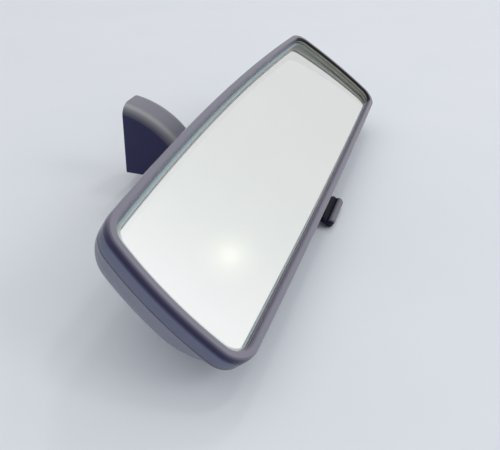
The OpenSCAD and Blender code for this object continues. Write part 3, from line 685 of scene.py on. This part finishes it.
cut(case, [
    upright("ball_opening", rod((0, 0, 0), (0, 60, 0), OPENING_R, 96)),
    upright("lever_way", slab(lever_room(SLOT_BACK, SLOT_LOW), SLOT_HALF)),
    upright("hub_room", slab(lever_room(HUB_ROOM_BACK, HUB_ROOM_LOW), HUB_ROOM_HALF)),
])
smooth(case, 38, 0.3)
# Painted reflection of the table: faces turned from the light are painted lighter and bluer than those towards
# it.
case_painted_tones = ((-0.6, (0.225, 0.235, 0.3)), (0.6, (0.2, 0.2, 0.225)))
case_plastic = moulding_with_painted_light("case_moulding", LIGHT_WAY, case_painted_tones, 0.45, 0.4)
case.data.materials.append(case_plastic)
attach(case, "head")
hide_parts("rear_housing")


# Dip lever: a moulded black plastic piece that turns on the lever pin, with a crank inside the case and a
# finger tab below it. The tab has a flat dark front, a rolled lower lip and rounded ends. The lip is painted
# lighter grey, a painted highlight where its roll faces the light, and the black is painted faintly darker
# towards the light, a painted shade on the front.
PIN_Y, PIN_Z, PIN_BORE_R = 10.978, -26.5, 1.05
TAB_W, TAB_L, TAB_T, TAB_TOP, TAB_LEAN = 22.5, 18.0, 3.2, 10.8, math.radians(8)
HUB_R, HUB_W, NECK_TOP = 2.2, 12.4, -1.3
CRANK_R, CRANK_LEAN, CRANK_PIN_R, CRANK_PIN_HALF = 5.0, math.radians(18), 1.2, 4.7
WEB_HALF_T, WEB_HALF_W, WEB_ROOT = 1.54, 1.7, 1.8
HALF_T = TAB_T / 2
LIP_OUT, LIP_R = 0.4, HALF_T + 0.4
END_R, END_STEPS = 2.6, 10


def on_lever(points):
    """From the lever's own directions (across, back, up along the tab) to upright millimetres."""
    p = np.asarray(points, float).reshape(-1, 3)
    c, s = math.cos(-TAB_LEAN), math.sin(-TAB_LEAN)
    return np.stack([p[:, 0], PIN_Y + c * p[:, 1] - s * p[:, 2], PIN_Z + s * p[:, 1] + c * p[:, 2]], 1)


lip_y, lip_z = -HALF_T + LIP_OUT, -TAB_L + LIP_R
side = [(HALF_T, -TAB_TOP - 0.6), (HALF_T - 0.6, -TAB_TOP), (-HALF_T + 0.6, -TAB_TOP)]
side += [(-HALF_T, -TAB_TOP - 0.6), (-HALF_T + 0.12, -TAB_TOP - 1.6), (-HALF_T, lip_z + LIP_R * 1.15)]
side += [
    (lip_y + LIP_R * math.cos(a), lip_z + LIP_R * math.sin(a)) for a in np.radians(np.linspace(118, 270, 20))
]
side += [(0.6, -TAB_L), (HALF_T - 0.5, -TAB_L + 0.15), (HALF_T, -TAB_L + 0.7)]
side = np.array(side)
middle = np.array([-0.3, -(TAB_TOP + TAB_L) / 2])
rings = []
places = [TAB_W / 2 - END_R * (1 - math.sin(a)) for a in np.linspace(math.pi / 2, 0, END_STEPS)]
for x in [-p for p in places] + places[::-1]:
    e = max(0.0, abs(x) - (TAB_W / 2 - END_R))
    inset = END_R - math.sqrt(max(0.0, END_R * END_R - e * e))
    scale = np.array([max(0.25, 1 - inset * 0.45 / 1.9), max(0.3, 1 - inset / 3.7)])
    rings.append(on_lever(at_x(x, middle + (side - middle) * scale)))
lever = upright("dip_lever_tab", skin(rings))
tidy_mesh(lever)
smooth(lever, 45)
neck_foot = -TAB_TOP - 1
neck_side = [(-HALF_T, neck_foot), (HALF_T, neck_foot), (HALF_T, NECK_TOP), (-HALF_T, NECK_TOP)]
neck = upright("dip_lever_neck", skin([on_lever(at_x(x, neck_side)) for x in (-HUB_W / 2, HUB_W / 2)]))
tidy_mesh(neck)
smooth(neck, 35, 0.4)


def pin_rod(half_l, y, z, r):
    """A round bar across the mirror."""
    return rod((-half_l, y, z), (half_l, y, z), r)


hub = upright("dip_lever_hub", pin_rod(HUB_W / 2, PIN_Y, PIN_Z, HUB_R))
cut(hub, [upright("pin_bore", pin_rod(30, PIN_Y, PIN_Z, PIN_BORE_R))])
smooth(hub, 35, 0.2)
along = np.array([math.sin(CRANK_LEAN), math.cos(CRANK_LEAN)])
across = np.array([along[1], -along[0]]) * WEB_HALF_T
pin_at = np.array([PIN_Y, PIN_Z])
root, end = pin_at + WEB_ROOT * along, pin_at + CRANK_R * along
web_side = [root - across, root + across, end + across, end - across]
web = upright("dip_lever_web", slab(web_side, WEB_HALF_W))
crank = upright("dip_lever_crank", pin_rod(CRANK_PIN_HALF, *end, CRANK_PIN_R))
for part in (web, crank):
    tidy_mesh(part)
    smooth(part, 35, 0.2)
# The black is painted faintly darker on faces towards the light: painted shade on the flat front.
lever_tones = ((0.0, (0.011, 0.012, 0.03)), (0.95, (0.006, 0.008, 0.016)))
lever_black = moulding_with_painted_light("lever_moulding", LIGHT_WAY, lever_tones, 0.45, 0.12)
# Painted highlight on the rolled lip: a lighter grey copy of the lever's black, lighter where the lip faces
# the light.
lip_highlight_tones = ((0.0, (0.012, 0.012, 0.034)), (0.45, (0.1, 0.096, 0.125)), (0.8, (0.17, 0.165, 0.195)))
lip_painted_highlight = moulding_with_painted_light("lever_lip", LIGHT_WAY, lip_highlight_tones, 0.35, 0.3)
lever.data.materials.append(lever_black)
lever.data.materials.append(lip_painted_highlight)
# The faces of the rolled lip take the painted highlight; the rest keeps the black.
step = Vector(bench(on_lever([(0, 0, lip_z + LIP_R * 0.8)]))[0])
tab_way = (Vector(bench(on_lever([(0, 0, -TAB_L)]))[0]) - step).normalized()
for face in lever.data.polygons:
    on_lip = (face.center - step).dot(tab_way) > 0 and abs(face.normal.x) < 0.6
    face.material_index = 1 if on_lip else 0
for part in (neck, hub, web, crank):
    part.data.materials.append(lever_black)
for part in (lever, neck, hub, web, crank):
    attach(part, "lever")
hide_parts("dip_lever")


# Floor: the pale, faintly blue painted table that the mirror lies on, plain and matt.
# It is stage only, and lies just under the lowest point of the part at rest.
FLOOR_HALF_M, FLOOR_GAP_M = 3, 0.0001
floor_z = min(c[2] for c in cad_box) - FLOOR_GAP_M
corners = [(-1, -1), (1, -1), (1, 1), (-1, 1)]
table = piece("table_top", [(FLOOR_HALF_M * x, FLOOR_HALF_M * y, floor_z) for x, y in corners], [(0, 1, 2, 3)])
paint_white, tree, shader = paint("table_paint", (0.78, 0.82, 0.87), 0.4)
vary(tree, shader, "Base Color", grain(tree, 60, 3), (0.77, 0.81, 0.86), (0.79, 0.825, 0.875))
shader.inputs["Specular IOR Level"].default_value = 0.2
table.data.materials.append(paint_white)


# Room light: a pale ceiling that is darker on the near side and has one glow, which the glass mirrors,
# and three soft lamps that throw faint shadows. The glass does not show the lamps.
world = bpy.data.worlds.new("room")
bpy.context.scene.world = world
world.use_nodes = True
tree = world.node_tree
place = tree.nodes.new("ShaderNodeTexCoord")


def sky(direction, tones, start=0.0):
    """Brightness by how near a direction of the room lies to the given one, counted from start."""
    near = dot(tree, place.outputs["Generated"], Vector(direction).normalized())
    return tone_ramp(tree, spread(tree, near, start, 1.0), tones)


GLOW_START = 0.998
ceiling = sky((-0.45, -0.45, 0.77), (
    (0.0, (0.775, 0.775, 0.775)), (0.2, (0.8, 0.81, 0.805)), (0.3, (0.85, 0.86, 0.855)),
    (0.42, (0.95, 0.95, 0.96)), (0.8, (0.9, 0.9, 0.9)),
))
near_side = sky((-0.83, 0.2, 0.5), ((0.1, (1, 1, 1)), (0.5, (0.82, 0.82, 0.83)), (0.9, (0.6, 0.6, 0.62))))
glow = sky((0.705, -0.402, 0.583), (
    (0.0, (0, 0, 0)), (0.45, (0.025, 0.025, 0.012)), (0.75, (0.06, 0.06, 0.03)),
    (0.9, (0.11, 0.11, 0.07)), (0.97, (0.18, 0.18, 0.13)),
), GLOW_START)
dim = tree.nodes.new("ShaderNodeVectorMath")
dim.operation = "MULTIPLY_ADD"
for source, socket in zip((ceiling, near_side, glow), dim.inputs):
    tree.links.new(source, socket)
tree.links.new(dim.outputs["Vector"], tree.nodes["Background"].inputs["Color"])
tree.nodes["Background"].inputs["Strength"].default_value = 1.0
LAMPS_AIM = Vector((0, -0.06, 0))
for name, at, size, power in (
    ("far_panel", (1.05, -0.05, 1.35), 0.2, 1.6),
    ("ceiling_panel", (0.55, -0.6, 1.5), 0.2, 1.6),
    ("window_panel", (0.1, -1.25, 0.9), 0.5, 2.4),
):
    lamp = bpy.data.lights.new(name, "AREA")
    lamp.shape, lamp.size, lamp.energy = "DISK", size, power
    holder = bpy.data.objects.new(name, lamp)
    holder.location = at
    holder.rotation_euler = (LAMPS_AIM - Vector(at)).to_track_quat("-Z", "Y").to_euler()
    holder.visible_glossy = holder.visible_transmission = False
    bpy.context.scene.collection.objects.link(holder)


# Camera: above the near end of the glass and looking along it, as the photograph was taken.
# Its place, turn and lens were fitted to the outlines of the bezel in the photograph.
camera = bpy.data.cameras.new("view")
camera.sensor_fit, camera.sensor_width, camera.lens = "HORIZONTAL", 36.0, 37.76
eye = bpy.data.objects.new("view", camera)
bpy.context.scene.collection.objects.link(eye)
CAMERA_AT = (-0.21827, -0.14969, 0.12893)
CAMERA_TURN = ((0.35337, 0.55589, -0.75241), (-0.93548, 0.2105, -0.28384), (0.0006, 0.80417, 0.59441))
eye.matrix_world = Matrix.Translation(CAMERA_AT) @ Matrix(CAMERA_TURN).to_4x4()
bpy.context.scene.camera = eye
bpy.context.scene.view_settings.view_transform = "Standard"
